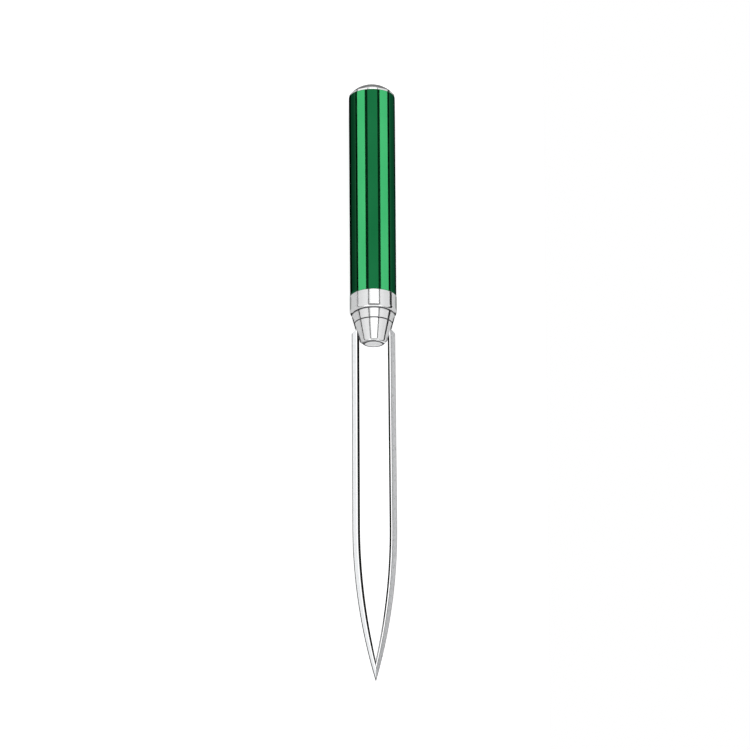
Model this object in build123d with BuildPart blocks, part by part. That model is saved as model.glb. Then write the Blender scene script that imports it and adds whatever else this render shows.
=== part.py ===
"""Letter opener: a ground steel blade held in a slotted nose, on a tube handle drawn up by one screw."""

import os

from build123d import *

# Barrel, the lacquered tube of the handle
BARREL_DIAMETER = 12.7
BARREL_LENGTH = 60.1
BARREL_WALL = 0.8
BARREL_EDGE_BREAK = 0.12

# Ferrule ring, the plated band between barrel and nose
RING_PROUD = 0.12
RING_LENGTH = 5.3
RING_LIP_DEPTH = 0.52
RING_LIP_LENGTH = 0.95
RING_BACK_BREAK = 0.15
SLEEVE_LENGTH = 5.5

# Nose cone, slotted for the blade
NOSE_LENGTH = 8.58
NOSE_BACK_DIAMETER = 11.5
NOSE_FRONT_DIAMETER = 7.12
NOSE_EDGE_RADIUS = 1.0
GROOVE_SETBACK = 2.29
GROOVE_WIDTH = 0.32
GROOVE_DEPTH = 0.16
NECK_LENGTH = 0.37
NECK_DIAMETER = 10.4
STEM_DIAMETER = 7.6
STEM_LENGTH = 11.4

# Blade
BLADE_REACH = 100.0
BLADE_THICKNESS = 1.8
BLADE_EDGE_THICKNESS = 0.3
SHOULDER_WIDTH = 11.94
BELLY_WIDTH = 12.24
POINT_LENGTH = 46.0
EDGE_BEVEL_WIDTH = 0.18
EDGE_BEVEL_RISE = 0.18
BEVEL_WIDTH = 1.01
BEVEL_RISE = 0.09
FOOT_WIDTH = 0.5
FOOT_RISE = 0.185
LAND_WALL_WIDTH = 0.405
EDGE_BEVEL_TIP_SETBACK = 0.6
BEVEL_TIP_SETBACK = 2.35
FOOT_TIP_SETBACK = 3.6
LAND_TIP_SETBACK = 4.8
SHOULDER_CHAMFER = 1.2
SHOULDER_SETBACK = 4.65
TANG_WIDTH = 4.8
TANG_LENGTH = 8.5
TANG_CORNER = 0.6

# Cross pin through the tang
PIN_DIAMETER = 2.0
PIN_FROM_TANG_END = 2.0
PIN_RECESS = 0.1
PIN_EDGE_BREAK = 0.2

# Tie screw
SCREW_DIAMETER = 4.0
SCREW_GRIP = 5.5
SCREW_HOLE_SPARE = 0.8
SCREW_POINT_BREAK = 0.5
HEAD_DIAMETER = 7.0
HEAD_HEIGHT = 4.0
HEX_ACROSS_FLATS = 3.0
HEX_DEPTH = 2.0

# End plug and dome cap
PLUG_LENGTH = 9.0
PLUG_FLANGE = 0.5
PLUG_FLANGE_INSET = 0.08
PLUG_WEB = 2.0
CAP_SOCKET_DIAMETER = 8.6
CAP_BOSS_LENGTH = 2.4
DOME_RISE = 2.95
DOME_INSET = 0.05

# Clearances, on the radius or on one face
SEAT_GAP = 0.02
SLOT_GAP = 0.03
SCREW_PASS_GAP = 0.2
HEAD_GAP = 0.15
END_GAP = 0.1
TRIM_MARGIN = 1.0

barrel_radius = BARREL_DIAMETER / 2
bore_radius = barrel_radius - BARREL_WALL
ring_radius = barrel_radius + RING_PROUD
neck_radius = NECK_DIAMETER / 2
stem_radius = STEM_DIAMETER / 2
nose_back_radius = NOSE_BACK_DIAMETER / 2
nose_front_radius = NOSE_FRONT_DIAMETER / 2
screw_radius = SCREW_DIAMETER / 2
flange_radius = barrel_radius - PLUG_FLANGE_INSET
dome_radius = flange_radius - DOME_INSET

# Stations along the opener, from the point at -Y to the dome at +Y
total_length = (
    BLADE_REACH + NOSE_LENGTH + NECK_LENGTH + RING_LENGTH + BARREL_LENGTH + PLUG_FLANGE + DOME_RISE
)
tip_y = -total_length / 2
nose_front = tip_y + BLADE_REACH
nose_back = nose_front + NOSE_LENGTH
ring_front = nose_back + NECK_LENGTH
ring_back = ring_front + RING_LENGTH
sleeve_back = ring_back + SLEEVE_LENGTH
stem_back = ring_front + STEM_LENGTH
barrel_front = ring_back
barrel_back = barrel_front + BARREL_LENGTH
flange_back = barrel_back + PLUG_FLANGE
plug_front = barrel_back - PLUG_LENGTH
dome_top = flange_back + DOME_RISE

# The opener lies on its ring, so the long axis runs at the ring's radius above the table
axis_height = ring_radius
axis_plane = Plane.XY.offset(axis_height)
long_axis = Axis((0, 0, axis_height), (0, 1, 0))


def cone_radius(y):
    """Radius of the nose cone at a station between its front and its back."""
    share = (y - nose_front) / NOSE_LENGTH
    return nose_front_radius + (nose_back_radius - nose_front_radius) * share


# Blade: the section steps from the edge over a small and a wide bevel, a foot and a wall to the land
shoulder_y = nose_front + SHOULDER_SETBACK
tang_back = shoulder_y + TANG_LENGTH
pin_y = tang_back - PIN_FROM_TANG_END
half_shoulder = SHOULDER_WIDTH / 2
half_tang = TANG_WIDTH / 2
half_belly = BELLY_WIDTH / 2
half_thickness = BLADE_THICKNESS / 2
half_edge = BLADE_EDGE_THICKNESS / 2

shoulder_corner = Vector(half_shoulder, shoulder_y - SHOULDER_CHAMFER)
belly = Vector(half_belly, tip_y + POINT_LENGTH)
flank = (belly - shoulder_corner).normalized()
outward = Vector(-flank.Y, flank.X)
flank_start = shoulder_corner - flank * (tang_back - shoulder_corner.Y + TRIM_MARGIN)

bevel_inset = EDGE_BEVEL_WIDTH + BEVEL_WIDTH
foot_inset = bevel_inset + FOOT_WIDTH
land_inset = foot_inset + LAND_WALL_WIDTH
edge_bevel_top = half_edge + EDGE_BEVEL_RISE
bevel_top = edge_bevel_top + BEVEL_RISE
foot_top = bevel_top + FOOT_RISE

# Height, inset from the edge and distance short of the point of each line along the blade
upper_lines = (
    (half_edge, 0, 0),
    (edge_bevel_top, EDGE_BEVEL_WIDTH, EDGE_BEVEL_TIP_SETBACK),
    (bevel_top, bevel_inset, BEVEL_TIP_SETBACK),
    (foot_top, foot_inset, FOOT_TIP_SETBACK),
    (half_thickness, land_inset, LAND_TIP_SETBACK),
)
lower_lines = tuple((-height, inset, setback) for height, inset, setback in reversed(upper_lines))

with BuildPart() as blade:
    for height, inset, setback in lower_lines + upper_lines:
        with BuildSketch(axis_plane.offset(height)):
            with BuildLine():
                side_start = flank_start - outward * inset
                side_end = belly - outward * inset
                Line(side_start, side_end)
                TangentArc(side_end, (0, tip_y + setback), tangent=flank)
                Line(side_start, (0, side_start.Y))
                mirror(about=Plane.YZ)
            make_face()
    loft(ruled=True)
    with BuildSketch(axis_plane):
        with BuildLine():
            trim_x = half_belly + TRIM_MARGIN
            trim_y = shoulder_y - SHOULDER_CHAMFER - (trim_x - half_shoulder)
            Polyline(
                (0, tang_back),
                (half_tang - TANG_CORNER, tang_back),
                (half_tang, tang_back - TANG_CORNER),
                (half_tang, shoulder_y),
                (half_shoulder - SHOULDER_CHAMFER, shoulder_y),
                (trim_x, trim_y),
                (trim_x, tip_y - TRIM_MARGIN),
                (0, tip_y - TRIM_MARGIN),
            )
            mirror(about=Plane.YZ)
        make_face()
    extrude(amount=BLADE_THICKNESS, both=True, mode=Mode.INTERSECT)
    with BuildSketch(axis_plane):
        with Locations((0, pin_y)):
            Circle(PIN_DIAMETER / 2 + SEAT_GAP)
    extrude(amount=BLADE_THICKNESS, both=True, mode=Mode.SUBTRACT)

# Nose cone: one turned piece with a groove, a short neck and a stem, slotted for blade and tang
groove_y = nose_back - GROOVE_SETBACK
groove_front = groove_y - GROOVE_WIDTH / 2
groove_back = groove_y + GROOVE_WIDTH / 2
slot_half_height = half_thickness + SLOT_GAP
screw_point = stem_back - SCREW_GRIP
screw_hole_front = screw_point - SCREW_HOLE_SPARE

with BuildPart() as nose_cone:
    with BuildSketch(axis_plane):
        with BuildLine():
            Polyline(
                (0, nose_front),
                (nose_front_radius, nose_front),
                (cone_radius(groove_front), groove_front),
                (cone_radius(groove_y) - GROOVE_DEPTH, groove_y),
                (cone_radius(groove_back), groove_back),
                (nose_back_radius, nose_back),
                (neck_radius, nose_back),
                (neck_radius, ring_front),
                (stem_radius, ring_front),
                (stem_radius, stem_back),
                (0, stem_back),
                close=True,
            )
        make_face()
    revolve(axis=long_axis)
    front_edge = nose_cone.edges().filter_by(GeomType.CIRCLE).sort_by(Axis.Y)[0]
    fillet(front_edge, NOSE_EDGE_RADIUS)
    with BuildSketch(axis_plane):
        with Locations((0, nose_front)):
            Rectangle(NOSE_BACK_DIAMETER, 2 * (SHOULDER_SETBACK + END_GAP))
        with Locations((0, shoulder_y)):
            Rectangle(TANG_WIDTH + 2 * SLOT_GAP, 2 * (TANG_LENGTH + END_GAP))
    extrude(amount=slot_half_height, both=True, mode=Mode.SUBTRACT)
    with BuildSketch(axis_plane):
        with Locations((0, pin_y)):
            Circle(PIN_DIAMETER / 2 + SEAT_GAP)
    extrude(amount=STEM_DIAMETER, both=True, mode=Mode.SUBTRACT)
    with BuildSketch(axis_plane):
        with Locations((0, screw_hole_front)):
            Rectangle(
                screw_radius + SEAT_GAP, stem_back - screw_hole_front, align=(Align.MIN, Align.MIN)
            )
    revolve(axis=long_axis, mode=Mode.SUBTRACT)

# Cross pin: locks the tang in the stem, hidden inside the ring
with BuildPart() as tang_pin:
    with BuildSketch(axis_plane):
        with Locations((0, pin_y)):
            Circle(PIN_DIAMETER / 2)
    extrude(amount=stem_radius - PIN_RECESS, both=True)
    chamfer(tang_pin.edges().filter_by(GeomType.CIRCLE), PIN_EDGE_BREAK)

# Ferrule ring: a band with a rounded front lip, and a sleeve that centres it in the barrel
ring_bore = stem_radius + SEAT_GAP
sleeve_radius = bore_radius - SEAT_GAP
lip_radius = ring_radius - RING_LIP_DEPTH
lip_end = ring_front + RING_LIP_LENGTH

with BuildPart() as ferrule_ring:
    with BuildSketch(axis_plane):
        with BuildLine():
            TangentArc((ring_radius, lip_end), (lip_radius, ring_front), tangent=(0, -1))
            Polyline(
                (lip_radius, ring_front),
                (ring_bore, ring_front),
                (ring_bore, sleeve_back),
                (sleeve_radius, sleeve_back),
                (sleeve_radius, ring_back),
                (ring_radius - RING_BACK_BREAK, ring_back),
                (ring_radius, ring_back - RING_BACK_BREAK),
                (ring_radius, lip_end),
            )
        make_face()
    revolve(axis=long_axis)

# Barrel
with BuildPart() as barrel:
    with BuildSketch(axis_plane):
        with Locations((bore_radius, barrel_front)):
            Rectangle(BARREL_WALL, BARREL_LENGTH, align=(Align.MIN, Align.MIN))
    revolve(axis=long_axis)
    outer_rims = barrel.edges().filter_by(GeomType.CIRCLE).sort_by(SortBy.RADIUS)[-2:]
    chamfer(outer_rims, BARREL_EDGE_BREAK)

# End plug: its flange closes the barrel, its bores take the screw head and the cap's boss
plug_radius = bore_radius - SEAT_GAP
socket_radius = CAP_SOCKET_DIAMETER / 2
head_bore = HEAD_DIAMETER / 2 + HEAD_GAP
screw_pass = screw_radius + SCREW_PASS_GAP
head_seat = plug_front + PLUG_WEB
head_top = head_seat + HEAD_HEIGHT
socket_floor = flange_back - CAP_BOSS_LENGTH - END_GAP

with BuildPart() as end_plug:
    with BuildSketch(axis_plane):
        with BuildLine():
            Polyline(
                (screw_pass, plug_front),
                (plug_radius, plug_front),
                (plug_radius, barrel_back),
                (flange_radius, barrel_back),
                (flange_radius, flange_back),
                (socket_radius, flange_back),
                (socket_radius, socket_floor),
                (head_bore, socket_floor),
                (head_bore, head_seat),
                (screw_pass, head_seat),
                close=True,
            )
        make_face()
    revolve(axis=long_axis)

# Tie screw: pulls nose, ring, barrel and plug together
with BuildPart() as tie_screw:
    with BuildSketch(axis_plane):
        with BuildLine():
            Polyline(
                (0, screw_point),
                (screw_radius - SCREW_POINT_BREAK, screw_point),
                (screw_radius, screw_point + SCREW_POINT_BREAK),
                (screw_radius, head_seat),
                (HEAD_DIAMETER / 2, head_seat),
                (HEAD_DIAMETER / 2, head_top),
                (0, head_top),
                close=True,
            )
        make_face()
    revolve(axis=long_axis)
    with BuildSketch(Plane((0, head_top, axis_height), z_dir=(0, 1, 0))):
        RegularPolygon(HEX_ACROSS_FLATS / 2, 6, major_radius=False)
    extrude(amount=-HEX_DEPTH, mode=Mode.SUBTRACT)

# End cap: a solid dome with a boss pressed into the plug, over the screw head
boss_radius = socket_radius - SEAT_GAP
boss_front = flange_back - CAP_BOSS_LENGTH

with BuildPart() as end_cap:
    with BuildSketch(axis_plane):
        with BuildLine():
            TangentArc((0, dome_top), (dome_radius, flange_back), tangent=(1, 0))
            Polyline(
                (dome_radius, flange_back),
                (boss_radius, flange_back),
                (boss_radius, boss_front),
                (0, boss_front),
                (0, dome_top),
            )
        make_face()
    revolve(axis=long_axis)

blade.part.label = "blade"
nose_cone.part.label = "nose_cone"
tang_pin.part.label = "tang_pin"
ferrule_ring.part.label = "ferrule_ring"
barrel.part.label = "barrel"
end_plug.part.label = "end_plug"
tie_screw.part.label = "tie_screw"
end_cap.part.label = "end_cap"

os.makedirs("parts", exist_ok=True)
export_step(blade.part, "parts/blade.step")
export_step(nose_cone.part, "parts/nose_cone.step")
export_step(tang_pin.part, "parts/tang_pin.step")
export_step(ferrule_ring.part, "parts/ferrule_ring.step")
export_step(barrel.part, "parts/barrel.step")
export_step(end_plug.part, "parts/end_plug.step")
export_step(tie_screw.part, "parts/tie_screw.step")
export_step(end_cap.part, "parts/end_cap.step")
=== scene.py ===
from collections import namedtuple
from math import acos, asin, atan2, cos, pi, radians, sin, sqrt, tan

import bmesh
import bpy
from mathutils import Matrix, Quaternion, Vector


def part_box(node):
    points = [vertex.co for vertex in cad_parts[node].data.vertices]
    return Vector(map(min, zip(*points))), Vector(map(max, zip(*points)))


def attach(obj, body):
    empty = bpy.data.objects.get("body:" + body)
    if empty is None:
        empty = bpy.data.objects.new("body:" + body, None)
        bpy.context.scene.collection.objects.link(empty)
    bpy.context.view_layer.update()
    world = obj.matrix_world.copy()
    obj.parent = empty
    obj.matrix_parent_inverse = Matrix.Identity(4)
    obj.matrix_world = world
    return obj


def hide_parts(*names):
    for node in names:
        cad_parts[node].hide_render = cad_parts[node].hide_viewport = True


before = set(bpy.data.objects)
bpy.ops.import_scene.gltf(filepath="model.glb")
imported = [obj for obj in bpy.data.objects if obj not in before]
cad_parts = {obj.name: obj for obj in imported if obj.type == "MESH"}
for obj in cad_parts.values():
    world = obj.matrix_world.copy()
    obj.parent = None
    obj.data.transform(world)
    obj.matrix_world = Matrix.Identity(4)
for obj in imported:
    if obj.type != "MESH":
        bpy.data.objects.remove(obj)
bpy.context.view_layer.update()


def mm(length):
    """Metres from millimetres."""
    return length * 0.001


# Stations and radii, read from the frame
axis_z = (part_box("ferrule_ring")[0].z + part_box("ferrule_ring")[1].z) / 2
solid_ring_front, sleeve_back = (corner.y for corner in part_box("ferrule_ring"))
ring_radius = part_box("ferrule_ring")[1].x
barrel_front, barrel_back = (corner.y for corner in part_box("barrel"))
barrel_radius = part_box("barrel")[1].x
nose_front, stem_back = (corner.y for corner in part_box("nose_cone"))
solid_nose_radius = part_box("nose_cone")[1].x
plug_front, flange_back = (corner.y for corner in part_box("end_plug"))
flange_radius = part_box("end_plug")[1].x
boss_front, dome_top = (corner.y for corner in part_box("end_cap"))
dome_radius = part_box("end_cap")[1].x
tip_y, tang_back = (corner.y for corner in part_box("blade"))
half_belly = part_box("blade")[1].x
half_thickness = (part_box("blade")[1].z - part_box("blade")[0].z) / 2
pin_y = (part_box("tang_pin")[0].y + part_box("tang_pin")[1].y) / 2
pin_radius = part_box("tang_pin")[1].x
head_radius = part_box("tie_screw")[1].x
screw_point, head_top = (corner.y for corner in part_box("tie_screw"))

# Handle sizes that the boxes don't give
BORE_RADIUS = mm(5.55)
SCREW_RADIUS = mm(2.0)
STEM_RADIUS = mm(3.8)
NECK_RADIUS = mm(5.84)
NECK_LENGTH = mm(0.37)
NOSE_FRONT_RADIUS = mm(3.64)
NOSE_EDGE = mm(0.9)
GROOVE_SETBACK = mm(2.51)
GROOVE_WIDTH = mm(0.32)
GROOVE_DEPTH = mm(0.16)
LIP_DEPTH = mm(0.6)
LIP_LENGTH = mm(1.05)
PLUG_WEB = mm(2.0)
HEAD_HEIGHT = mm(4.0)
SOCKET_RADIUS = mm(4.3)
SEAT_GAP = mm(0.02)
SLOT_GAP = mm(0.03)
END_GAP = mm(0.1)
SCREW_PASS_GAP = mm(0.2)
HEAD_GAP = mm(0.15)
SCREW_HOLE_SPARE = mm(0.8)

# The ring's lip starts a little behind its solid's front, and the nose is a little wider at its back
LIP_SETBACK = mm(0.17)
NOSE_GAIN = mm(0.2)
ring_front = solid_ring_front + LIP_SETBACK
nose_back = ring_front - NECK_LENGTH
nose_back_radius = solid_nose_radius + NOSE_GAIN

# Painted dark lines on the nose: a painted dark reflection on a rim of its flat front, and painted shade
# beside the neck that darkens down the sides
PAINTED_RIM_WIDTH = mm(0.32)
NECK_SHADE_WIDTH = mm(0.3)
SIDE_RUN = (mm(2.8), mm(4.6))
NECK_SIDE_SHARE = 0.08

# Edge roundings of the turned pieces
BARREL_EDGE = mm(0.12)
RING_EDGE = mm(0.15)
FINE_EDGE = mm(0.05)

# Blade sizes that the box doesn't give
SHOULDER_SETBACK = mm(4.65)
SHOULDER_CHAMFER = mm(1.2)
HALF_SHOULDER = mm(5.97)
HALF_TANG = mm(2.4)
TANG_CORNER = mm(0.6)
POINT_LENGTH = mm(46.0)
HALF_EDGE = mm(0.15)
EDGE_BEVEL_WIDTH = mm(0.18)
EDGE_BEVEL_TILT = radians(45)
BEVEL_INSET = mm(1.19)
BEVEL_TILT = radians(5)
FOOT_RADIUS = mm(1.0)
FOOT_INSET = mm(1.69)
LAND_INSET = mm(2.095)
LAND_EDGE_RADIUS = mm(0.1)
TRIM_MARGIN = mm(1.0)

# How far short of the point the blade's lines stop, by their inset from the edge
TIP_SETBACKS = (
    (0, 0),
    (EDGE_BEVEL_WIDTH, mm(0.75)),
    (BEVEL_INSET, mm(3.1)),
    (FOOT_INSET, mm(5.15)),
    (LAND_INSET, mm(6.2)),
)

# Mesh fineness
TURN_STEPS = 256
ARC_STEPS = 8
LONG_ARC_STEPS = 32
HOLE_STEPS = 48
FLANK_STEPS = 24
POINT_STEPS = 96
SUPPORT = mm(0.04)
SUPPORTED_RUN = 6 * SUPPORT
SHARP_ANGLE = radians(28)

# How near points and faces count as together
WELD = mm(0.0005)
AXIS_MARGIN = mm(0.001)
FACE_MARGIN = mm(0.01)

# The range that most values of a noise texture keep to
NOISE_RANGE = (0.3, 0.7)

WHITE = (1, 1, 1)

# The glow that lifts the floor to white, for the camera alone
FLOOR_LIFT = 0.62


# Materials

def new_material(name, base, metallic, roughness):
    """A principled material, its node tree and its shader."""
    material = bpy.data.materials.new(name)
    material.use_nodes = True
    tree = material.node_tree
    shader = tree.nodes["Principled BSDF"]
    shader.inputs["Base Color"].default_value = (*base, 1)
    shader.inputs["Metallic"].default_value = metallic
    shader.inputs["Roughness"].default_value = roughness
    return material, tree, shader


def noise(tree, scale, detail, roughness=0.5):
    """Noise in object space, with scale in cycles per metre along X, Y and Z."""
    spot = tree.nodes.new("ShaderNodeTexCoord")
    mapping = tree.nodes.new("ShaderNodeMapping")
    mapping.inputs["Scale"].default_value = scale
    texture = tree.nodes.new("ShaderNodeTexNoise")
    texture.inputs["Scale"].default_value = 1.0
    texture.inputs["Detail"].default_value = detail
    texture.inputs["Roughness"].default_value = roughness
    tree.links.new(spot.outputs["Object"], mapping.inputs["Vector"])
    tree.links.new(mapping.outputs["Vector"], texture.inputs["Vector"])
    return texture.outputs["Fac"]


def remap(tree, value, start, end, low, high):
    """A value that runs from low to high while the given one runs from start to end."""
    span = tree.nodes.new("ShaderNodeMapRange")
    span.inputs["From Min"].default_value = start
    span.inputs["From Max"].default_value = end
    span.inputs["To Min"].default_value = low
    span.inputs["To Max"].default_value = high
    tree.links.new(value, span.inputs["Value"])
    return span.outputs["Result"]


def spread(tree, value, low, high):
    """A noise value spread between low and high."""
    return remap(tree, value, *NOISE_RANGE, low, high)


def combine(tree, operation, *values):
    """A math node of values and constants."""
    node = tree.nodes.new("ShaderNodeMath")
    node.operation = operation
    for socket, value in zip(node.inputs, values):
        if isinstance(value, (int, float)):
            socket.default_value = value
        else:
            tree.links.new(value, socket)
    return node.outputs["Value"]


def offsets(tree):
    """How far a point lies to the side of the long axis, and its station along it."""
    spot = tree.nodes.new("ShaderNodeTexCoord")
    split = tree.nodes.new("ShaderNodeSeparateXYZ")
    tree.links.new(spot.outputs["Object"], split.inputs["Vector"])
    across = combine(tree, "ABSOLUTE", split.outputs["X"])
    return across, split.outputs["Y"]


def dimmed(tree, colour, share):
    """A colour scaled by a share."""
    scale = tree.nodes.new("ShaderNodeVectorMath")
    scale.operation = "SCALE"
    tree.links.new(colour, scale.inputs["Vector"])
    tree.links.new(share, scale.inputs["Scale"])
    return scale.outputs["Vector"]


def set_ramp(ramp, positions, colours):
    """Gives a two-colour ramp its positions and colours."""
    for element, position, colour in zip(ramp.color_ramp.elements, positions, colours):
        element.position = position
        element.color = (*colour, 1)


def tones(tree, value, dark, light):
    """A noise value turned into colours between dark and light."""
    ramp = tree.nodes.new("ShaderNodeValToRGB")
    set_ramp(ramp, NOISE_RANGE, (dark, light))
    tree.links.new(value, ramp.inputs["Fac"])
    return ramp.outputs["Color"]


def dress(tree, shader, tint, roughness):
    """Links a colour and a roughness to a shader."""
    tree.links.new(tint, shader.inputs["Base Color"])
    tree.links.new(roughness, shader.inputs["Roughness"])


def bump(tree, shader, height, depth, strength):
    """Fine relief from a noise value, depth in metres."""
    relief = tree.nodes.new("ShaderNodeBump")
    relief.inputs["Strength"].default_value = strength
    relief.inputs["Distance"].default_value = depth
    tree.links.new(height, relief.inputs["Height"])
    tree.links.new(relief.outputs["Normal"], shader.inputs["Normal"])


def green_lacquer():
    """Clear green lacquer over bright metal, with a faint orange peel."""
    base = (0.013, 0.128, 0.043)
    material, tree, shader = new_material("green_lacquer", base, metallic=1.0, roughness=0.08)
    shader.inputs["Specular Tint"].default_value = (0.32, 0.40, 0.46, 1)
    shader.inputs["Coat Weight"].default_value = 0.06
    shader.inputs["Coat Roughness"].default_value = 0.05
    flow = noise(tree, scale=(220, 60, 220), detail=3)
    tint = tones(tree, flow, dark=(0.011, 0.122, 0.040), light=(0.015, 0.134, 0.046))
    peel = noise(tree, scale=(1400, 900, 1400), detail=1)
    dress(tree, shader, tint, spread(tree, peel, low=0.06, high=0.10))
    bump(tree, shader, peel, depth=mm(0.002), strength=0.15)
    return material


def plating(name, painted_shade=None):
    """Bright plating with faint turning lines round the long axis, darkened by a share of painted shade
    where one is given.
    """
    material, tree, shader = new_material(name, base=(0.86, 0.865, 0.87), metallic=1.0, roughness=0.1)
    turning = noise(tree, scale=(40, 9000, 40), detail=3, roughness=0.6)
    tint = tones(tree, turning, dark=(0.83, 0.835, 0.84), light=(0.88, 0.885, 0.89))
    if painted_shade:
        tint = dimmed(tree, tint, painted_shade(tree))
    dress(tree, shader, tint, spread(tree, turning, low=0.08, high=0.14))
    bump(tree, shader, turning, depth=mm(0.001), strength=0.1)
    return material


def shade_beside_neck(tree):
    """The share of its brightness that the nose keeps, as painted shade: less down its sides, just before
    the neck.
    """
    across, station = offsets(tree)
    beside_neck = remap(tree, station, nose_back - NECK_SHADE_WIDTH, nose_back, low=0.0, high=1.0)
    down_side = remap(tree, across, *SIDE_RUN, low=0.0, high=1.0)
    return combine(tree, "SUBTRACT", 1.0, combine(tree, "MULTIPLY", beside_neck, down_side))


def groove_shade(name, side_share):
    """Dull plating painted dark as shade in the bottom of a groove, dimmed down the sides to a share as
    deeper painted shade.
    """
    material, tree, shader = new_material(name, base=(0.10, 0.10, 0.11), metallic=1.0, roughness=0.45)
    dust = noise(tree, scale=(2500, 2500, 2500), detail=3)
    tint = tones(tree, dust, dark=(0.06, 0.06, 0.065), light=(0.15, 0.15, 0.16))
    across = offsets(tree)[0]
    tint = dimmed(tree, tint, remap(tree, across, *SIDE_RUN, low=1.0, high=side_share))
    dress(tree, shader, tint, spread(tree, dust, low=0.4, high=0.5))
    return material


def polished_steel():
    """Mirror-polished blade steel with hairline polishing marks along the blade."""
    base = (0.87, 0.87, 0.875)
    material, tree, shader = new_material("polished_steel", base, metallic=1.0, roughness=0.05)
    hairlines = noise(tree, scale=(6000, 30, 6000), detail=3, roughness=0.6)
    tint = tones(tree, hairlines, dark=(0.85, 0.85, 0.855), light=(0.89, 0.89, 0.895))
    dress(tree, shader, tint, spread(tree, hairlines, low=0.03, high=0.07))
    return material


def ground_steel():
    """Satin ground steel of the bevels, streaked along the blade."""
    base = (0.64, 0.65, 0.66)
    material, tree, shader = new_material("ground_steel", base, metallic=1.0, roughness=0.3)
    streaks = noise(tree, scale=(4500, 900, 4500), detail=4, roughness=0.65)
    tint = tones(tree, streaks, dark=(0.58, 0.59, 0.60), light=(0.70, 0.71, 0.72))
    dress(tree, shader, tint, spread(tree, streaks, low=0.26, high=0.34))
    bump(tree, shader, streaks, depth=mm(0.003), strength=0.2)
    return material


def turned_steel():
    """Plain turned steel of the hidden pin and screw."""
    base = (0.56, 0.57, 0.58)
    material, tree, shader = new_material("turned_steel", base, metallic=1.0, roughness=0.35)
    marks = noise(tree, scale=(300, 7000, 300), detail=3, roughness=0.6)
    tint = tones(tree, marks, dark=(0.50, 0.51, 0.52), light=(0.62, 0.63, 0.64))
    dress(tree, shader, tint, spread(tree, marks, low=0.28, high=0.42))
    bump(tree, shader, marks, depth=mm(0.004), strength=0.2)
    return material


def floor_white():
    """Pale matt table, lifted to white for the camera alone."""
    material, tree, shader = new_material("floor_white", base=(0.8, 0.8, 0.8), metallic=0.0, roughness=0.6)
    shader.inputs["Emission Color"].default_value = (*WHITE, 1)
    rays = tree.nodes.new("ShaderNodeLightPath")
    lift = combine(tree, "MULTIPLY", rays.outputs["Is Camera Ray"], FLOOR_LIFT)
    tree.links.new(lift, shader.inputs["Emission Strength"])
    return material


def matt_grey(name, shade):
    """Plain matt card of one shade of grey."""
    return new_material(name, base=(shade, shade, shade), metallic=0.0, roughness=0.9)[0]


# Meshes

def arc(centre, radius, start, end):
    """Sharp outline points along an arc; angles are measured from the outward radius towards +Y."""
    angles = [start + (end - start) * step / LONG_ARC_STEPS for step in range(LONG_ARC_STEPS + 1)]
    return [(centre[0] + radius * cos(a), centre[1] + radius * sin(a), 0) for a in angles]


def rounded(outline):
    """Outline of (radius, y, rounding) corners with each rounding drawn as an arc."""
    points = []
    for index, (r, y, rounding) in enumerate(outline):
        corner = Vector((r, y))
        if not rounding:
            points.append(corner)
            continue
        before = (Vector(outline[index - 1][:2]) - corner).normalized()
        after = (Vector(outline[(index + 1) % len(outline)][:2]) - corner).normalized()
        half = before.angle(after) / 2
        centre = corner + (before + after).normalized() * (rounding / sin(half))
        first = corner + before * (rounding / tan(half)) - centre
        last = corner + after * (rounding / tan(half)) - centre
        sweep = first.angle_signed(last)
        for step in range(ARC_STEPS + 1):
            angle = atan2(first.y, first.x) - sweep * step / ARC_STEPS
            points.append(centre + Vector((cos(angle), sin(angle))) * rounding)
    return points


def supported(points):
    """The closed outline with a point just inside both ends of each long straight stretch."""
    result = []
    for index, point in enumerate(points):
        result.append(point)
        run = points[(index + 1) % len(points)] - point
        if run.length > SUPPORTED_RUN:
            result.append(point + run.normalized() * SUPPORT)
            result.append(point + run - run.normalized() * SUPPORT)
    return result


def smooth(mesh):
    """Shades a mesh smooth, with its sharp edges marked."""
    mesh.polygons.foreach_set("use_smooth", [True] * len(mesh.polygons))
    mesh.set_sharp_from_angle(angle=SHARP_ANGLE)


def finish_mesh(bm, name, materials):
    """A smooth-shaded object from a bmesh."""
    bmesh.ops.remove_doubles(bm, verts=bm.verts, dist=WELD)
    bmesh.ops.recalc_face_normals(bm, faces=bm.faces)
    mesh = bpy.data.meshes.new(name)
    bm.to_mesh(mesh)
    bm.free()
    smooth(mesh)
    piece = bpy.data.objects.new(name, mesh)
    bpy.context.scene.collection.objects.link(piece)
    for material in materials:
        mesh.materials.append(material)
    return piece


def turn(name, outline, material):
    """A turned piece: the closed outline of (radius, y, rounding) corners spun about the long axis."""
    bm = bmesh.new()
    loops = []
    for point in supported(rounded(outline)):
        steps = 1 if point.x < AXIS_MARGIN else TURN_STEPS
        angles = [2 * pi * step / TURN_STEPS for step in range(steps)]
        loops.append([bm.verts.new((point.x * cos(a), point.y, axis_z + point.x * sin(a))) for a in angles])
    for here, there in zip(loops, loops[1:] + loops[:1]):
        if len(here) == 1 and len(there) == 1:
            continue
        for step in range(TURN_STEPS):
            after = (step + 1) % TURN_STEPS
            corners = [here[step % len(here)], here[after % len(here)]]
            corners += [there[after % len(there)], there[step % len(there)]]
            bm.faces.new(list(dict.fromkeys(corners)))
    return finish_mesh(bm, name, [material])


def prism(name, outline, half_height):
    """A scratch cutter: a plan outline of (x, y) points, as thick as twice half_height about the axis."""
    bm = bmesh.new()
    low = [bm.verts.new((x, y, axis_z - half_height)) for x, y in outline]
    high = [bm.verts.new((x, y, axis_z + half_height)) for x, y in outline]
    bm.faces.new(low)
    bm.faces.new(high)
    for index in range(len(outline)):
        after = (index + 1) % len(outline)
        bm.faces.new((low[index], low[after], high[after], high[index]))
    return finish_mesh(bm, name, [])


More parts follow.
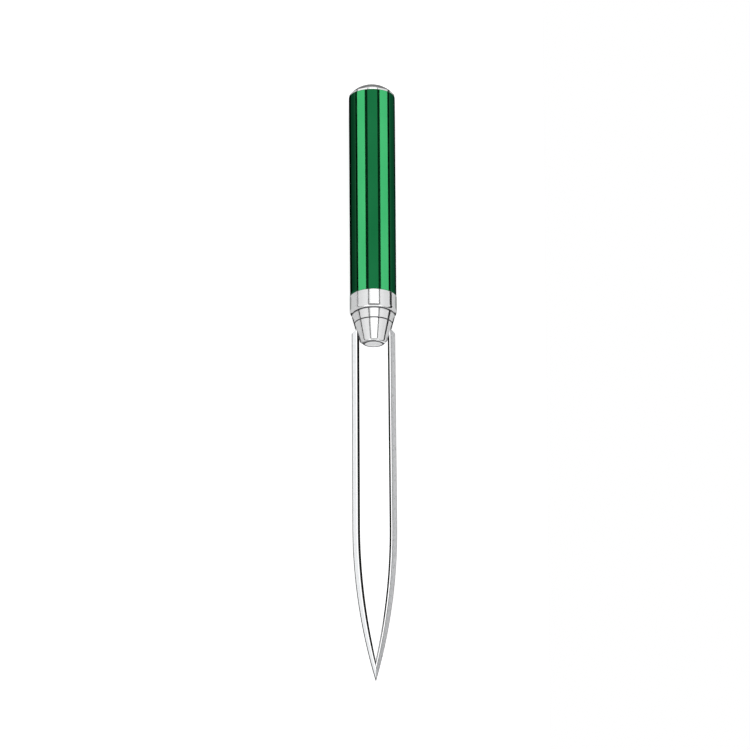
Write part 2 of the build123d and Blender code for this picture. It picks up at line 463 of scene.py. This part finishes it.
def cut(piece, cutter, operation):
    """Cuts a piece with a cutter, which is then thrown away."""
    modifier = piece.modifiers.new("cut", "BOOLEAN")
    modifier.operation = operation
    modifier.solver = "EXACT"
    modifier.object = cutter
    bpy.context.view_layer.update()
    evaluated = piece.evaluated_get(bpy.context.evaluated_depsgraph_get())
    mesh = bpy.data.meshes.new_from_object(evaluated)
    piece.modifiers.clear()
    piece.data = mesh
    bpy.data.objects.remove(cutter)
    smooth(mesh)


def place(piece, node):
    """Sets a finished piece in the frame, for the node that it stands for."""
    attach(piece, "root")
    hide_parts(node)


def circle(centre, radius):
    """Plan outline of a hole."""
    turns = [2 * pi * step / HOLE_STEPS for step in range(HOLE_STEPS)]
    return [(centre[0] + radius * cos(a), centre[1] + radius * sin(a)) for a in turns]


def mirrored(half):
    """Closed plan outline from its +X half."""
    return half + [(-x, y) for x, y in reversed(half)]


def flat(name, corners, height):
    """A level face with the given (x, y) corners."""
    bm = bmesh.new()
    bm.faces.new([bm.verts.new((x, y, height)) for x, y in corners])
    return finish_mesh(bm, name, [])


lacquer = green_lacquer()
chrome = plating("plating")
# Nose plating with painted shade down its sides, just before the neck
nose_chrome_painted_shade = plating("nose_plating_painted_shade", shade_beside_neck)
mirror_steel = polished_steel()
bevel_steel = ground_steel()
plain_steel = turned_steel()
# Painted shade: dark plating for the groove and the neck, darker down the neck's sides; the groove's also
# paints a dark reflection on the nose's front rim
painted_shade_plating = groove_shade("groove_shade", side_share=1.0)
painted_neck_shade = groove_shade("neck_shade", NECK_SIDE_SHARE)


# Barrel
barrel = turn(
    "barrel_tube",
    [
        (BORE_RADIUS, barrel_front, FINE_EDGE),
        (barrel_radius, barrel_front, BARREL_EDGE),
        (barrel_radius, barrel_back, BARREL_EDGE),
        (BORE_RADIUS, barrel_back, FINE_EDGE),
    ],
    lacquer,
)
place(barrel, "barrel")

# Ferrule ring, with its rounded front lip and the sleeve inside the barrel
lip_arc_radius = (LIP_DEPTH**2 + LIP_LENGTH**2) / (2 * LIP_DEPTH)
lip_sweep = asin(LIP_LENGTH / lip_arc_radius)
lip_centre = (ring_radius - lip_arc_radius, ring_front + LIP_LENGTH)
ring = turn(
    "ferrule_band",
    [
        (STEM_RADIUS + SEAT_GAP, sleeve_back, FINE_EDGE),
        (STEM_RADIUS + SEAT_GAP, ring_front, FINE_EDGE),
        *arc(lip_centre, lip_arc_radius, -lip_sweep, 0),
        (ring_radius, barrel_front, RING_EDGE),
        (BORE_RADIUS - SEAT_GAP, barrel_front, 0),
        (BORE_RADIUS - SEAT_GAP, sleeve_back, FINE_EDGE),
    ],
    chrome,
)
place(ring, "ferrule_ring")

# Nose cone, with its groove, neck and stem, slotted for the blade
nose_length = nose_back - nose_front
shoulder_y = nose_front + SHOULDER_SETBACK
cone_slope = atan2(nose_back_radius - NOSE_FRONT_RADIUS, nose_length)
flat_radius = NOSE_FRONT_RADIUS - NOSE_EDGE * tan((pi / 2 - cone_slope) / 2)
# Inner edge of the painted dark reflection on the rim of the nose's front
painted_rim_radius = flat_radius - PAINTED_RIM_WIDTH
groove_y = nose_back - GROOVE_SETBACK
groove_front = groove_y - GROOVE_WIDTH / 2
groove_back = groove_y + GROOVE_WIDTH / 2
screw_hole = SCREW_RADIUS + SEAT_GAP
screw_hole_front = screw_point - SCREW_HOLE_SPARE


def cone_radius(y):
    """Radius of the nose cone at a station between its front and its back."""
    share = (y - nose_front) / nose_length
    return NOSE_FRONT_RADIUS + (nose_back_radius - NOSE_FRONT_RADIUS) * share


nose = turn(
    "nose_cone_body",
    [
        (0, nose_front, 0),
        (painted_rim_radius, nose_front, 0),
        (NOSE_FRONT_RADIUS, nose_front, NOSE_EDGE),
        (cone_radius(groove_front), groove_front, FINE_EDGE),
        (cone_radius(groove_y) - GROOVE_DEPTH, groove_y, FINE_EDGE),
        (cone_radius(groove_back), groove_back, FINE_EDGE),
        (nose_back_radius, nose_back, FINE_EDGE),
        (NECK_RADIUS, nose_back, 0),
        (NECK_RADIUS, ring_front, 0),
        (STEM_RADIUS, ring_front, 0),
        (STEM_RADIUS, stem_back, FINE_EDGE),
        (screw_hole, stem_back, FINE_EDGE),
        (screw_hole, screw_hole_front, 0),
        (0, screw_hole_front, 0),
    ],
    nose_chrome_painted_shade,
)
slot_back = shoulder_y + END_GAP
tang_slot = HALF_TANG + SLOT_GAP
slot_plan = mirrored([
    (nose_back_radius, nose_front - TRIM_MARGIN),
    (nose_back_radius, slot_back),
    (tang_slot, slot_back),
    (tang_slot, tang_back + END_GAP),
])
pin_plan = circle((0, pin_y), pin_radius + SEAT_GAP)
cut(nose, prism("slot_cutter", slot_plan, half_thickness + SLOT_GAP), "DIFFERENCE")
cut(nose, prism("pin_cutter", pin_plan, 2 * STEM_RADIUS), "DIFFERENCE")

# The nose's painted dark lines: a painted dark reflection on the rim of its front, and painted shade in the
# groove and on the neck
nose_finishes = [nose_chrome_painted_shade, painted_shade_plating, painted_neck_shade]
for finish in nose_finishes[1:]:
    nose.data.materials.append(finish)
for polygon in nose.data.polygons:
    station = polygon.center.y
    reach = sqrt(polygon.center.x**2 + (polygon.center.z - axis_z) ** 2)
    # Painted dark reflection on the front's rim, painted shade in the groove and on the neck
    on_painted_rim = station < nose_front + FACE_MARGIN and reach > painted_rim_radius
    in_groove = groove_front < station < groove_back
    on_neck = nose_back - FACE_MARGIN < station < ring_front - FACE_MARGIN
    if on_painted_rim or in_groove:
        polygon.material_index = nose_finishes.index(painted_shade_plating)
    elif on_neck:
        polygon.material_index = nose_finishes.index(painted_neck_shade)
place(nose, "nose_cone")

# End plug, whose flange shows as a thin bright line
head_seat = head_top - HEAD_HEIGHT
socket_floor = boss_front - END_GAP
screw_pass = SCREW_RADIUS + SCREW_PASS_GAP
head_bore = head_radius + HEAD_GAP
plug = turn(
    "end_plug_body",
    [
        (screw_pass, head_seat - PLUG_WEB, FINE_EDGE),
        (BORE_RADIUS - SEAT_GAP, plug_front, FINE_EDGE),
        (BORE_RADIUS - SEAT_GAP, barrel_back, 0),
        (flange_radius, barrel_back, FINE_EDGE),
        (flange_radius, flange_back, FINE_EDGE),
        (SOCKET_RADIUS, flange_back, FINE_EDGE),
        (SOCKET_RADIUS, socket_floor, 0),
        (head_bore, socket_floor, FINE_EDGE),
        (head_bore, head_seat, 0),
        (screw_pass, head_seat, FINE_EDGE),
    ],
    chrome,
)
place(plug, "end_plug")

# End cap, a polished dome on a boss
dome_rise = dome_top - flange_back
dome_arc_radius = (dome_radius**2 + dome_rise**2) / (2 * dome_rise)
dome_centre = (0, dome_top - dome_arc_radius)
dome_edge_angle = acos(dome_radius / dome_arc_radius)
cap = turn(
    "end_cap_dome",
    [
        (0, boss_front, 0),
        (SOCKET_RADIUS - SEAT_GAP, boss_front, FINE_EDGE),
        (SOCKET_RADIUS - SEAT_GAP, flange_back, 0),
        *arc(dome_centre, dome_arc_radius, dome_edge_angle, pi / 2),
    ],
    chrome,
)
place(cap, "end_cap")

# Blade: flanks that flare a little to the belly, then arcs that meet at the point
shoulder_corner = Vector((HALF_SHOULDER, shoulder_y - SHOULDER_CHAMFER))
belly = Vector((half_belly, tip_y + POINT_LENGTH))
flank = (belly - shoulder_corner).normalized()
outward = Vector((-flank.y, flank.x))
flank_start = shoulder_corner - flank * (tang_back - shoulder_corner.y + TRIM_MARGIN)


def tip_setback(inset):
    """How far a line at an inset from the edge stops short of the tip."""
    spans = list(zip(TIP_SETBACKS, TIP_SETBACKS[1:]))
    (low, near), (high, far) = next((span for span in spans if inset < span[1][0]), spans[-1])
    return near + (far - near) * (inset - low) / (high - low)


def blade_line(inset):
    """Plan points of the +X side at an inset from the edge, from behind the tang to the middle line."""
    start = flank_start - outward * inset
    end = belly - outward * inset
    points = [start.lerp(end, step / FLANK_STEPS) for step in range(FLANK_STEPS)]
    to_tip = Vector((0, tip_y + tip_setback(inset))) - end
    reach = -to_tip.length_squared / (2 * to_tip.dot(outward))
    centre = end - outward * reach
    first = atan2(outward.y, outward.x)
    last = -acos(-centre.x / reach)
    for step in range(POINT_STEPS + 1):
        angle = first + (last - first) * step / POINT_STEPS
        points.append(centre + Vector((cos(angle), sin(angle))) * reach)
    points[-1].x = 0
    return points


def blade_section():
    """Half section of (inset, height, polished) points: edge, bevel, hollow foot, wall and land edge."""
    bevel_foot = HALF_EDGE + EDGE_BEVEL_WIDTH * tan(EDGE_BEVEL_TILT)
    points = [(0, HALF_EDGE, True), (EDGE_BEVEL_WIDTH, bevel_foot, True)]
    foot_start = (BEVEL_INSET, bevel_foot + (BEVEL_INSET - EDGE_BEVEL_WIDTH) * tan(BEVEL_TILT))
    foot_centre = (
        foot_start[0] - FOOT_RADIUS * sin(BEVEL_TILT),
        foot_start[1] + FOOT_RADIUS * cos(BEVEL_TILT),
    )
    corner = (LAND_INSET, half_thickness)
    reach = sqrt((corner[0] - foot_centre[0]) ** 2 + (corner[1] - foot_centre[1]) ** 2)
    bearing = atan2(corner[1] - foot_centre[1], corner[0] - foot_centre[0])
    wall_tilt = bearing + asin(FOOT_RADIUS / reach)
    for step in range(ARC_STEPS + 1):
        tilt = BEVEL_TILT + (wall_tilt - BEVEL_TILT) * step / ARC_STEPS
        height = foot_centre[1] - FOOT_RADIUS * cos(tilt)
        points.append((foot_centre[0] + FOOT_RADIUS * sin(tilt), height, step > 0))
    edge_run = LAND_EDGE_RADIUS * tan(wall_tilt / 2)
    for step in range(ARC_STEPS + 1):
        tilt = wall_tilt * (1 - step / ARC_STEPS)
        inset = corner[0] + edge_run - LAND_EDGE_RADIUS * sin(tilt)
        points.append((inset, corner[1] - LAND_EDGE_RADIUS * (1 - cos(tilt)), True))
    return points


def blade_bar():
    """The bar before trimming: four quarters of the section along the blade, joined and closed behind."""
    section = blade_section()
    steels = [mirror_steel, bevel_steel]
    bm = bmesh.new()
    quarters = {}
    for side in (1, -1):
        for face in (1, -1):
            quarters[side, face] = [
                [bm.verts.new((side * p.x, p.y, axis_z + face * height)) for p in blade_line(inset)]
                for inset, height, _ in section
            ]

    def strip(one, other, steel):
        """A row of faces between two lines of points."""
        for index in range(len(one) - 1):
            quad = bm.faces.new((one[index], one[index + 1], other[index + 1], other[index]))
            quad.material_index = steels.index(steel)

    for lines in quarters.values():
        for row in range(len(section) - 1):
            polished = section[row + 1][2]
            strip(lines[row], lines[row + 1], mirror_steel if polished else bevel_steel)
    for side in (1, -1):
        strip(quarters[side, 1][0], quarters[side, -1][0], bevel_steel)
    for face in (1, -1):
        strip(quarters[1, face][-1], quarters[-1, face][-1], mirror_steel)
    back_loop = [line[0] for line in quarters[1, 1]] + [line[0] for line in reversed(quarters[-1, 1])]
    back_loop += [line[0] for line in quarters[-1, -1]] + [line[0] for line in reversed(quarters[1, -1])]
    bm.faces.new(back_loop)
    return finish_mesh(bm, "blade_steel_bar", steels)


blade = blade_bar()
trim_x = half_belly + TRIM_MARGIN
trim_plan = mirrored([
    (HALF_TANG - TANG_CORNER, tang_back),
    (HALF_TANG, tang_back - TANG_CORNER),
    (HALF_TANG, shoulder_y),
    (HALF_SHOULDER - SHOULDER_CHAMFER, shoulder_y),
    (trim_x, shoulder_corner.y - (trim_x - HALF_SHOULDER)),
    (trim_x, tip_y - TRIM_MARGIN),
])
cut(blade, prism("trim_cutter", trim_plan, 2 * half_thickness), "INTERSECT")
cut(blade, prism("pin_cutter", pin_plan, 2 * half_thickness), "DIFFERENCE")
place(blade, "blade")

# Hidden pin and screw keep their solids
for node in ("tang_pin", "tie_screw"):
    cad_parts[node].data.materials.clear()
    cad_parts[node].data.materials.append(plain_steel)


# Floor: a plain pale table, which stops on the right so that low panels show past its edge in reflections
FLOOR_LEFT = -0.6
FLOOR_RIGHT = 0.047
FLOOR_END = 0.4
floor_corners = (
    (FLOOR_LEFT, -FLOOR_END),
    (FLOOR_RIGHT, -FLOOR_END),
    (FLOOR_RIGHT, FLOOR_END),
    (FLOOR_LEFT, FLOOR_END),
)
floor = flat("floor", floor_corners, height=0)
floor.data.materials.append(floor_white())

# Cards on the floor that only reflections show, to draw the outlines of the bright pieces: painted dark
# reflections, standing in for shade on the floor beside them
NOSE_SLANT = -0.3
RING_SLANT = 0.2
BARREL_SLANT = 0.42

# How far the cards lie from the axis, and their greys; a pair is for the right and the left
CARD_INNER = mm(5)
NOSE_REACHES = (mm(10.6), mm(10.6))
RING_REACHES = (mm(14), mm(14))
BARREL_REACHES = (mm(12), mm(16))
FAR_REACHES = (FLOOR_RIGHT, mm(100))
DOME_REACH = mm(12)
DARKS = (0.1, 0.1)
RING_GREYS = (0.42, 0.42)
FAR_GREYS = (0.62, 0.43)
DOME_GREY = 0.22

# Where two cards overlap, the higher one shows
LOW_CARD = mm(0.2)
MIDDLE_CARD = mm(0.25)
HIGH_CARD = mm(0.3)

# Where the cards start and end along the opener
nose_run = (nose_front + mm(4.2), nose_front + mm(13.1))
ring_run = (barrel_front - mm(3.45), barrel_front + mm(1.55))
barrel_run = (barrel_front - mm(0.2), barrel_back - mm(0.6))
dome_run = (dome_top + mm(0.5), dome_top + mm(30.5))


def hidden_card(name, across, along, height, shade, slant=0.0):
    """A level card between two X and two Y values, its ends slanted with the distance from the axis."""
    low, high = across
    shifts = [abs(x) * slant for x in across]
    corners = (
        (low, along[0] + shifts[0]),
        (high, along[0] + shifts[1]),
        (high, along[1] + shifts[1]),
        (low, along[1] + shifts[0]),
    )
    card = flat(name, corners, height)
    card.data.materials.append(matt_grey(name, shade))
    card.visible_camera = False
    card.visible_shadow = False
    card.visible_diffuse = False
    return card


def card_pair(name, reaches, along, height, shades, slant):
    """A card on the right and one on the left of the opener, each out to its own reach from the axis."""
    right = hidden_card(name + "_right", (CARD_INNER, reaches[0]), along, height, shades[0], slant)
    left = hidden_card(name + "_left", (-reaches[1], -CARD_INNER), along, height, shades[1], slant)
    return [right, left]


# The dark cards belong to no rig of lights, so no panel brightens them
dark_cards = [
    *card_pair("nose_card", NOSE_REACHES, nose_run, HIGH_CARD, DARKS, NOSE_SLANT),
    *card_pair("barrel_card", BARREL_REACHES, barrel_run, HIGH_CARD, DARKS, BARREL_SLANT),
]
grey_cards = [
    *card_pair("ring_card", RING_REACHES, ring_run, MIDDLE_CARD, RING_GREYS, RING_SLANT),
    hidden_card("dome_card", (-DOME_REACH, DOME_REACH), dome_run, LOW_CARD, DOME_GREY),
    *card_pair("barrel_card_far", FAR_REACHES, barrel_run, LOW_CARD, FAR_GREYS, BARREL_SLANT),
]


# Lights: soft panels round the opener, each rig set for one group of pieces
PANEL_REACH = 0.8
PANEL_END = 1.2
LONG_END = 3.0
COOL = (0.5, 1, 0.93)

# A strip runs along the opener, between two angles from overhead in degrees towards +X
Strip = namedtuple("Strip", "angles ends radiance colour", defaults=[WHITE])

# A front stands before the point, between two elevations in degrees
Front = namedtuple("Front", "elevations radiance")

# A rig lights one group of pieces, with or without a front
Rig = namedtuple("Rig", "name pieces strips front", defaults=[None])


def panel(name, centre, turn_from_down, size, receivers, radiance, colour=WHITE):
    """A soft rectangular panel of even brightness, turned from facing straight down."""
    light = bpy.data.lights.new(name, "AREA")
    light.color = colour
    light.shape = "RECTANGLE"
    light.size, light.size_y = size
    light.energy = pi * light.size * light.size_y * radiance
    lamp = bpy.data.objects.new(name, light)
    lamp.location = centre
    lamp.rotation_euler = turn_from_down
    lamp.visible_camera = False
    lamp.light_linking.receiver_collection = receivers
    bpy.context.scene.collection.objects.link(lamp)


def strip_panel(name, strip, receivers):
    """The panel of a strip."""
    middle = radians(sum(strip.angles)) / 2
    width = 2 * PANEL_REACH * tan(radians(strip.angles[1] - strip.angles[0]) / 2)
    size = (width, strip.ends[1] - strip.ends[0])
    centre = (PANEL_REACH * sin(middle), sum(strip.ends) / 2, axis_z + PANEL_REACH * cos(middle))
    panel(name, centre, (0, middle, 0), size, receivers, strip.radiance, strip.colour)


def front_panel(name, front, receivers):
    """The upright panel of a front."""
    low, high = (PANEL_END * tan(radians(elevation)) for elevation in front.elevations)
    size = (2 * PANEL_REACH, high - low)
    centre = (0, -PANEL_END, (low + high) / 2)
    panel(name, centre, (pi / 2, 0, 0), size, receivers, front.radiance)


def lit_group(name, pieces):
    """A group of pieces that the same panels light."""
    group = bpy.data.collections.new(name)
    for piece in pieces:
        group.objects.link(piece)
    return group


# Ends of the strips: overhead, the light steps down before the point and then stops
TOP_STEP = -0.214
TOP_STOP = -0.443
RING_TOP_STOP = -0.13
LOW_SIDE_STOP = -0.03
WHOLE = (-PANEL_END, PANEL_END)
FAR = (-LONG_END, LONG_END)
BEHIND = (TOP_STEP, PANEL_END)
FAR_BEHIND = (TOP_STEP, LONG_END)
BEFORE = (TOP_STOP, TOP_STEP)
RING_TOP = (RING_TOP_STOP, LONG_END)
LOW_SIDE = (-PANEL_END, LOW_SIDE_STOP)

left_glint = Strip(angles=(-90, -83.5), ends=WHOLE, radiance=0.7)
plating_strips = (
    Strip(angles=(-12, 27), ends=BEHIND, radiance=1.3),
    Strip(angles=(-19.5, -12), ends=BEHIND, radiance=0.85),
    Strip(angles=(-19.5, 27), ends=BEFORE, radiance=0.82),
    left_glint,
)
plating_front = Front(elevations=(9, 46), radiance=1.0)
rigs = (
    Rig(
        "barrel",
        [barrel],
        (
            Strip(angles=(-22, 27), ends=FAR, radiance=1.15, colour=COOL),
            Strip(angles=(-78.7, -36), ends=FAR, radiance=3.8),
            Strip(angles=(39.7, 83.6), ends=FAR, radiance=3.8),
            Strip(angles=(96.5, 105), ends=FAR, radiance=0.7),
        ),
    ),
    Rig(
        "ring",
        [ring],
        (
            Strip(angles=(-12, 27), ends=RING_TOP, radiance=1.3),
            Strip(angles=(-19.5, -12), ends=RING_TOP, radiance=0.85),
            left_glint,
            Strip(angles=(-79, -25), ends=WHOLE, radiance=0.8),
            Strip(angles=(33, 88), ends=WHOLE, radiance=0.8),
        ),
        Front(elevations=(2, 42), radiance=1.0),
    ),
    Rig(
        "cap",
        [plug, cap],
        (
            *plating_strips,
            Strip(angles=(-76, -22), ends=WHOLE, radiance=1.05),
            Strip(angles=(30.5, 88), ends=WHOLE, radiance=0.85),
        ),
        plating_front,
    ),
    Rig(
        "plating",
        [nose, floor, *grey_cards],
        (
            *plating_strips,
            Strip(angles=(-76, -26), ends=WHOLE, radiance=0.8),
            Strip(angles=(34, 88), ends=WHOLE, radiance=0.8),
        ),
        plating_front,
    ),
    Rig(
        "steel",
        [blade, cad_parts["tang_pin"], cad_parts["tie_screw"]],
        (
            Strip(angles=(-39, 10), ends=FAR_BEHIND, radiance=1.3),
            Strip(angles=(-39, 10), ends=BEFORE, radiance=0.82),
            Strip(angles=(26, 61), ends=FAR, radiance=1.25),
            Strip(angles=(79, 100), ends=WHOLE, radiance=0.4),
            Strip(angles=(-90, -39), ends=LOW_SIDE, radiance=0.35),
            Strip(angles=(61, 79), ends=LOW_SIDE, radiance=0.35),
        ),
        Front(elevations=(7, 46), radiance=0.3),
    ),
)
for rig in rigs:
    group = lit_group(rig.name + "_light", rig.pieces)
    for number, strip in enumerate(rig.strips):
        strip_panel(f"{rig.name}_panel_{number}", strip, group)
    if rig.front:
        front_panel(f"{rig.name}_front", rig.front, group)

# World: dim up to well above the horizon, brighter overhead, and plain white to the camera
SKY_HEIGHTS = (0.4, 0.75)
SKY_GREYS = (0.012, 0.12)
world = bpy.data.worlds.new("studio")
bpy.context.scene.world = world
world.use_nodes = True
sky = world.node_tree
sky.nodes.clear()
direction = sky.nodes.new("ShaderNodeTexCoord")
split = sky.nodes.new("ShaderNodeSeparateXYZ")
glow = sky.nodes.new("ShaderNodeValToRGB")
set_ramp(glow, SKY_HEIGHTS, [(grey, grey, grey) for grey in SKY_GREYS])
studio = sky.nodes.new("ShaderNodeBackground")
backdrop = sky.nodes.new("ShaderNodeBackground")
backdrop.inputs["Color"].default_value = (*WHITE, 1)
rays = sky.nodes.new("ShaderNodeLightPath")
choose = sky.nodes.new("ShaderNodeMixShader")
output = sky.nodes.new("ShaderNodeOutputWorld")
sky.links.new(direction.outputs["Generated"], split.inputs["Vector"])
sky.links.new(split.outputs["Z"], glow.inputs["Fac"])
sky.links.new(glow.outputs["Color"], studio.inputs["Color"])
sky.links.new(rays.outputs["Is Camera Ray"], choose.inputs["Fac"])
sky.links.new(studio.outputs["Background"], choose.inputs[1])
sky.links.new(backdrop.outputs["Background"], choose.inputs[2])
sky.links.new(choose.outputs["Shader"], output.inputs["Surface"])

# Camera: far off with a long lens, looking down along the opener; lens and sensor are in millimetres
CAMERA_DISTANCE = 6.0
CAMERA_ELEVATION = radians(66.5)
CAMERA_ROLL = radians(-0.41)
CAMERA_LENS = 1050.5
SENSOR_WIDTH = 36
AIM = Vector((mm(0.34), mm(2.24), axis_z))
back = Vector((0, -cos(CAMERA_ELEVATION), sin(CAMERA_ELEVATION)))
camera = bpy.data.objects.new("camera", bpy.data.cameras.new("camera"))
camera.data.sensor_width = SENSOR_WIDTH
camera.data.lens = CAMERA_LENS
camera.location = AIM + back * CAMERA_DISTANCE
camera.rotation_mode = "QUATERNION"
camera.rotation_quaternion = (-back).to_track_quat("-Z", "Y") @ Quaternion((0, 0, 1), CAMERA_ROLL)
bpy.context.scene.collection.objects.link(camera)
bpy.context.scene.camera = camera
bpy.context.scene.view_settings.view_transform = "Standard"
